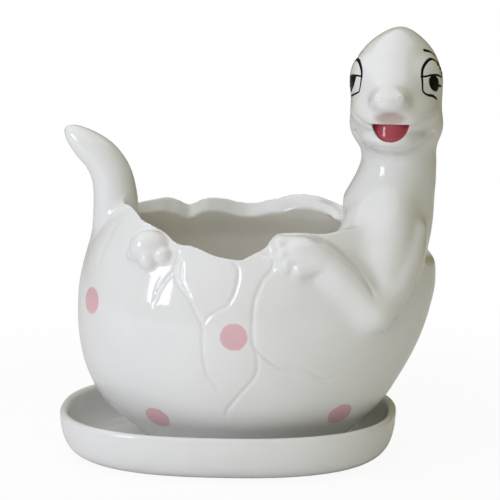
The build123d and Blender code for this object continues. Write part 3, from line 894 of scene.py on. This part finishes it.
saucerObject = buildSaucer()
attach(saucerObject, "saucer")
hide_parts("drip_saucer")
print("saucer: done")


# glaze
glaze = {
    "colour": (0.8, 0.805, 0.8),
    "cloudScale": 38,
    "cloudFrom": (0.35, 0.7),
    "cloudShade": 0.975,
    # painted shade in hollows, where the glaze also pools: darker and warmer there
    "poolAndShade": (0.6, 0.59, 0.56),
    "poolAndShadeFrom": (0.12, 0.75),  # hollowness where it starts and where it is full
    "poolAndShadeShare": 0.75,
    # painted shade: the glaze inside the pot made darker and warmer than outside
    "inside": (0.81, 0.79, 0.73),
    "mouth": (0.43, 0.08, 0.105),
    "dot": (0.72, 0.43, 0.47),
    "insideShadeFrom": (0.05, 0.4),  # distances over which these two colours end
    "mouthFrom": (0.1, 0.5),
    # painted shade under the nose, reddened by a painted reflection of the red mouth
    "underNoseShade": (0.5, 0.4, 0.36),
    "underNoseShadePlace": (73.8, -32.8, 161.3),
    "underNoseShadeRadii": (8, 9, 3.6),
    "underNoseShadeFrom": (0.5, 1.15),  # shares of those radii
    "underNoseShadeShare": 0.85,
    "dotRadius": 6,
    "dotShare": 0.93,
    "dotBlur": 0.5,
    "dotWave": (420, 1.2),  # scale and height of its edge's unevenness
    "roughScale": 120,
    "roughness": (0.05, 0.1),
    "roughFrom": (0.3, 0.7),
    "ior": 1.5,
    # scales of the soft and the fine ripple, and the fine one's share
    "ripple": (60, 900, 0.04),
    "rippleStrength": 0.12,
    "rippleHeight": 1,
    # middles of the dots
    "dots": [
        (-59.2, -25.8, 76.3), (6.9, -57.4, 68.2), (-28.4, -39.4, 26.5), (52.4, -34.3, 28.3),
        (59.4, 33, 76), (-42, 42, 74), (10, 57, 62), (-22, 45, 30), (48, 41, 30)],
}


def nodeTools(nodes, links):
    # short ways to add mixed colours, sums, soft steps, noise, vector sums and stored values
    place = nodes.new("ShaderNodeTexCoord").outputs["Object"]

    def feed(node, sockets, values):
        # each value is linked, or set as a colour or a number
        for socket, value in zip(sockets, values):
            if isinstance(value, bpy.types.NodeSocket):
                links.new(value, node.inputs[socket])
            else:
                node.inputs[socket].default_value = (*value, 1) if isinstance(value, tuple) else value

    def mix(factor, a, b):
        node = nodes.new("ShaderNodeMix")
        node.data_type = "RGBA"
        feed(node, (0, 6, 7), (factor, a, b))
        return node.outputs[2]

    def maths(operation, a, b=0.0, c=0.0):
        node = nodes.new("ShaderNodeMath")
        node.operation = operation
        feed(node, (0, 1, 2), (a, b, c))
        return node.outputs[0]

    def band(value, low, high, start=0.0, end=1.0):
        node = nodes.new("ShaderNodeMapRange")
        node.interpolation_type = "SMOOTHSTEP"
        sockets = ("Value", "From Min", "From Max", "To Min", "To Max")
        feed(node, sockets, (value, low, high, start, end))
        return node.outputs["Result"]

    def noise(scale, detail=3.0):
        node = nodes.new("ShaderNodeTexNoise")
        node.inputs["Scale"].default_value = scale
        node.inputs["Detail"].default_value = detail
        links.new(place, node.inputs["Vector"])
        return node.outputs["Fac"]

    def vectors(operation, a=place, b=(0.0, 0.0, 0.0)):
        node = nodes.new("ShaderNodeVectorMath")
        node.operation = operation
        links.new(a, node.inputs[0])
        node.inputs[1].default_value = b
        return node.outputs["Value" if operation in ("DISTANCE", "LENGTH") else "Vector"]

    def stored(name):
        node = nodes.new("ShaderNodeAttribute")
        node.attribute_name = name
        return node.outputs["Fac"]

    return mix, maths, band, noise, vectors, stored


def emptyMaterial(name):
    # a new material, its nodes, links and shader
    material = bpy.data.materials.new(name)
    material.use_nodes = True
    nodes = material.node_tree.nodes
    return material, nodes, material.node_tree.links, nodes["Principled BSDF"]


def inMetres(values):
    # millimetres times 0.001
    return tuple(v * mm for v in values)


def paintedColour(colour, tools):
    # over the plain glaze: painted shade in hollows where the glaze also pools, the dots, painted shade
    # inside the pot, painted shade and a painted reflection of the red mouth under the nose, the mouth
    mix, maths, band, noise, vectors, stored = tools
    # painted shade in hollows, where the glaze also pools
    poolAndShade = band(stored("hollow"), *glaze["poolAndShadeFrom"], 0.0, glaze["poolAndShadeShare"])
    colour = mix(poolAndShade, colour, glaze["poolAndShade"])
    scale, height = glaze["dotWave"]
    edge = maths("MULTIPLY_ADD", noise(scale), height * mm, -height * mm / 2)
    low, high = inMetres(glaze["dotRadius"] + s * glaze["dotBlur"] for s in (-1, 1))
    for dot in glaze["dots"]:
        wavy = maths("ADD", vectors("DISTANCE", b=inMetres(dot)), edge)
        colour = mix(band(wavy, low, high, glaze["dotShare"], 0.0), colour, glaze["dot"])
    # painted shade inside the pot
    colour = mix(band(stored("potInside"), *glaze["insideShadeFrom"], 1.0, 0.0), colour, glaze["inside"])
    # painted shade under the nose, with a painted reddish reflection of the mouth
    away = vectors("SUBTRACT", b=inMetres(glaze["underNoseShadePlace"]))
    share = vectors("LENGTH", vectors("DIVIDE", away, inMetres(glaze["underNoseShadeRadii"])))
    lip = band(share, *glaze["underNoseShadeFrom"], glaze["underNoseShadeShare"], 0.0)
    colour = mix(lip, colour, glaze["underNoseShade"])
    return mix(band(stored("mouthPaint"), *glaze["mouthFrom"], 1.0, 0.0), colour, glaze["mouth"])


def glazeMaterial(name, painted):
    # white glaze with painted shade in its hollows, where it also pools, and with faint cloudiness and
    # ripples
    material, nodes, links, shader = emptyMaterial(name)
    tools = nodeTools(nodes, links)
    mix, maths, band, noise = tools[:4]
    shade = tuple(c * glaze["cloudShade"] for c in glaze["colour"])
    colour = mix(band(noise(glaze["cloudScale"]), *glaze["cloudFrom"]), glaze["colour"], shade)
    if painted:
        colour = paintedColour(colour, tools)
    links.new(colour, shader.inputs["Base Color"])
    rough = band(noise(glaze["roughScale"]), *glaze["roughFrom"], *glaze["roughness"])
    links.new(rough, shader.inputs["Roughness"])
    shader.inputs["IOR"].default_value = glaze["ior"]
    bump = nodes.new("ShaderNodeBump")
    bump.inputs["Strength"].default_value = glaze["rippleStrength"]
    bump.inputs["Distance"].default_value = glaze["rippleHeight"] * mm
    soft, fine, share = glaze["ripple"]
    ripple = maths("ADD", noise(soft, 1.0), maths("MULTIPLY", noise(fine, 1.0), share))
    links.new(ripple, bump.inputs["Height"])
    links.new(bump.outputs["Normal"], shader.inputs["Normal"])
    return material


def blackPaint():
    # fired black enamel, a little thinner and greyer in places
    material, nodes, links, shader = emptyMaterial("blackEnamel")
    mix, _, _, noise = nodeTools(nodes, links)[:4]
    grain = noise(eyePaint["grain"])
    links.new(mix(grain, eyePaint["black"], eyePaint["worn"]), shader.inputs["Base Color"])
    rough = nodes.new("ShaderNodeMapRange")
    links.new(grain, rough.inputs["Value"])
    rough.inputs["To Min"].default_value, rough.inputs["To Max"].default_value = eyePaint["roughness"]
    shader.inputs["Specular IOR Level"].default_value = eyePaint["shine"]
    links.new(rough.outputs["Result"], shader.inputs["Roughness"])
    return material


eyes.data.materials.append(blackPaint())
planter.data.materials.append(glazeMaterial("whiteGlaze", True))
saucerObject.data.materials.append(glazeMaterial("saucerGlaze", False))
print("glaze: done")

# studio
studio = {
    "aim": (10, 0, 94.9),
    "distance": 1300,
    "azimuth": 4,
    "elevation": 12,
    "focalPixels": 2874,
    "photoWidth": 500,
    "sensorWidth": 36,
    "clip": (50, 20000),
    "lampAim": (10, 0, 90),
    # place, width and height, watts, colour, and whether the glaze mirrors it
    "lamps": {
        "keyLeft": ((-755, -675, 395), (240, 420), 3.22, (0.776, 0.814, 1), True),
        "topSoft": ((-120, 60, 900), (1500, 1300), 6.88, (0.859, 0.874, 1), True),
        "frontSoft": ((-120, -1000, 560), (900, 600), 3.95, (0.888, 0.916, 1), False),
    },
    "room": (0.153, 0.13, 0.015),
    "floorRadius": 4000,
    "floorSides": 96,
    "floorGrey": 0.9,
    "floorRoughness": 0.9,
    "whiteFrom": (150, 330),  # the floor turns to plain white for the camera between these radii
    "floorWhite": (0.93, 1),
}


def lookAt(obj, place, aim):
    # the object's place, and the turn that points its -Z at the aim
    obj.location = Vector(place) * mm
    obj.rotation_euler = (Vector(aim) - Vector(place)).to_track_quat("-Z", "Y").to_euler()


def buildStudio():
    # the camera on a sphere round its aim, the lamps, and a room that is white to the camera
    camera = addObject("camera", bpy.data.cameras.new("camera"))
    a, e = math.radians(studio["azimuth"]), math.radians(studio["elevation"])
    back = Vector((math.sin(a) * math.cos(e), -math.cos(a) * math.cos(e), math.sin(e)))
    lookAt(camera, Vector(studio["aim"]) + back * studio["distance"], studio["aim"])
    camera.data.sensor_width = studio["sensorWidth"]
    camera.data.lens = studio["focalPixels"] / studio["photoWidth"] * studio["sensorWidth"]
    camera.data.clip_start, camera.data.clip_end = inMetres(studio["clip"])
    bpy.context.scene.camera = camera
    for name, (place, size, watts, colour, mirrored) in studio["lamps"].items():
        data = bpy.data.lights.new(name, "AREA")
        data.shape = "RECTANGLE"
        data.size, data.size_y = inMetres(size)
        data.energy = watts
        data.color = colour
        lamp = addObject(name, data)
        lamp.visible_glossy = mirrored
        lookAt(lamp, place, studio["lampAim"])
    world = bpy.data.worlds.new("room")
    bpy.context.scene.world = world
    world.use_nodes = True
    nodes, links = world.node_tree.nodes, world.node_tree.links
    background = nodes["Background"]
    path = nodes.new("ShaderNodeLightPath")
    mix = nodeTools(nodes, links)[0]
    shown = mix(path.outputs["Is Camera Ray"], studio["room"], (1.0, 1.0, 1.0))
    links.new(shown, background.inputs["Color"])


def buildFloor():
    # a flat round floor whose far part is white to the camera and keeps the object's soft shadow
    radius, sides = studio["floorRadius"], studio["floorSides"]
    t = np.linspace(0, 2 * np.pi, sides, endpoint=False)
    points = np.column_stack([radius * np.cos(t), radius * np.sin(t), np.zeros(sides)])
    floor = listedMesh("floor", points, [tuple(range(sides))])
    material, nodes, links, shader = emptyMaterial("paperWhite")
    _, maths, band, _, vectors, _ = nodeTools(nodes, links)
    shader.inputs["Base Color"].default_value = (*[studio["floorGrey"]] * 3, 1)
    shader.inputs["Roughness"].default_value = studio["floorRoughness"]
    shader.inputs["Specular IOR Level"].default_value = 0.0
    glow = nodes.new("ShaderNodeEmission")
    glow.inputs["Color"].default_value = (1, 1, 1, 1)
    both = nodes.new("ShaderNodeMixShader")
    path = nodes.new("ShaderNodeLightPath")
    white = band(vectors("LENGTH"), *inMetres(studio["whiteFrom"]), *studio["floorWhite"])
    links.new(maths("MULTIPLY", path.outputs["Is Camera Ray"], white), both.inputs["Fac"])
    links.new(shader.outputs["BSDF"], both.inputs[1])
    links.new(glow.outputs["Emission"], both.inputs[2])
    links.new(both.outputs["Shader"], nodes["Material Output"].inputs["Surface"])
    floor.data.materials.append(material)


buildStudio()
buildFloor()
bpy.context.scene.view_settings.view_transform = "Standard"
print("studio: done")
